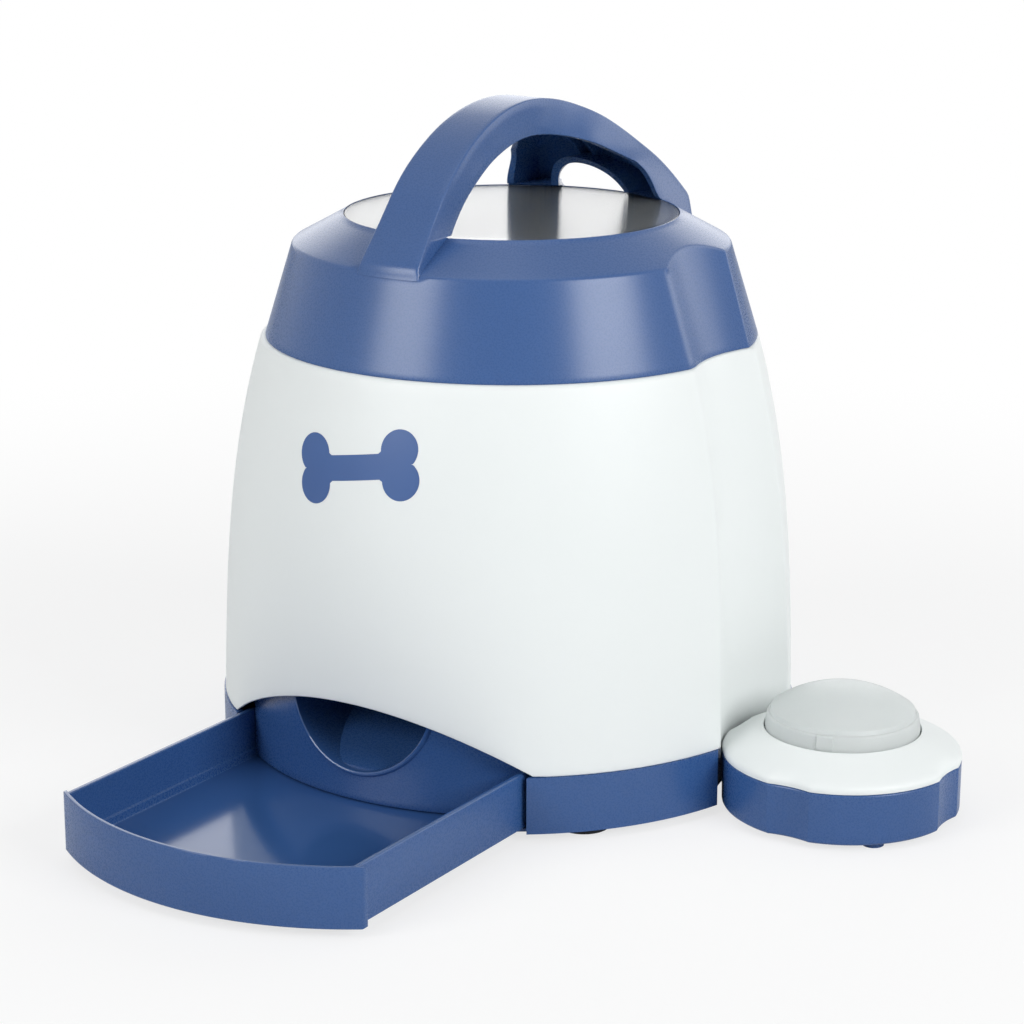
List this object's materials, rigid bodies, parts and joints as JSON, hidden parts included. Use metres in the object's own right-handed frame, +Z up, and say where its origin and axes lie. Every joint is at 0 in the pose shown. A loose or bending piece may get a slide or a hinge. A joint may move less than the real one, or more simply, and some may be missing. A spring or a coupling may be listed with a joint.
{
  "type": "dog puzzle toy",
  "caption": "Treat dispenser for dogs with an arched carry handle, a lift-off lid, a tray that pulls out under a round chute, a dosing wheel and a press-button remote.",
  "frame": {"origin": "on the floor under the dispenser's own axis", "axes": "+Z up, -Y the way the tray pulls out, +X towards the remote"},
  "size_m": [0.2661, 0.2883, 0.224],
  "materials": {
    "blue_plastic": "satin",
    "white_plastic": "satin",
    "window_plastic": "gloss",
    "frosted_plastic": "matt",
    "inner_plastic": "satin",
    "wheel_plastic": "satin",
    "gear_plastic": "satin",
    "dark_plastic": "matt",
    "grey_plastic": "satin",
    "lamp_plastic": "gloss",
    "rubber_black": "matt",
    "gasket_rubber": "matt",
    "steel": "satin",
    "pinion_brass": "satin",
    "cell_can": "satin",
    "board_green": "gloss"
  },
  "bodies": {
    "base": {"base_pan": "blue_plastic", "rubber_feet": "rubber_black", "battery_door": "blue_plastic", "battery_cells": "cell_can", "battery_contacts": "steel", "body_shell": "white_plastic", "hopper": "inner_plastic", "stop_cover": "inner_plastic", "dosing_bowl": "inner_plastic", "motor": "steel", "gearbox_plate": "inner_plastic", "chute_panel": "blue_plastic", "chute_duct": "blue_plastic", "drop_tube": "blue_plastic", "circuit_board": "board_green", "speaker": "dark_plastic", "switch_body": "dark_plastic", "status_led": "lamp_plastic", "case_screws": "steel", "bowl_screws": "steel", "gearbox_screws": "steel"},
    "lid": {"lid_collar": "blue_plastic", "carry_handle": "blue_plastic", "lid_window": "window_plastic", "window_gasket": "gasket_rubber"},
    "wheel": {"portion_wheel": "wheel_plastic", "wheel_shaft": "steel", "drive_gear": "gear_plastic"},
    "pinion": {"motor_pinion": "pinion_brass"},
    "slider": {"switch_slider": "grey_plastic"},
    "tray": {"food_tray": "blue_plastic"},
    "remote": {"remote_cup": "blue_plastic", "remote_ring": "white_plastic", "remote_board": "board_green", "remote_cells": "cell_can", "remote_door": "blue_plastic", "remote_pads": "blue_plastic", "remote_screws": "steel", "dome_spring": "steel"},
    "dome": {"remote_dome": "frosted_plastic"}
  },
  "joints": [
    {"name": "tray_slide", "type": "slide", "parent": "base", "child": "tray", "axis": [0, 1, 0], "range_m": [0, 0.0883]},
    {"name": "lid_lift", "type": "slide", "parent": "base", "child": "lid", "axis": [0, 0, 1], "range_m": [0, 0.12]},
    {"name": "wheel_turn", "type": "hinge", "parent": "base", "child": "wheel", "pos_m": [0, 0, 0.1], "axis": [0, 0, 1], "continuous": true},
    {"name": "pinion_turn", "type": "hinge", "parent": "base", "child": "pinion", "pos_m": [0, 0.021, 0.08], "axis": [0, 0, 1], "continuous": true},
    {"name": "mode_slide", "type": "slide", "parent": "base", "child": "slider", "axis": [1, 0, 0], "range_m": [-0.003, 0.003]},
    {"name": "remote_away", "type": "slide", "parent": "base", "child": "remote", "axis": [1, 0, 0], "range_m": [0, 0.3]},
    {"name": "dome_press", "type": "slide", "parent": "remote", "child": "dome", "axis": [0, 0, -1], "range_m": [0, 0.002], "stiffness_N_per_m": 300, "springref_m": -0.005, "deforming": ["dome_spring"]}
  ],
  "couplings": [
    {"joint": "pinion_turn", "follows": "wheel_turn", "ratio": -2.5}
  ]
}
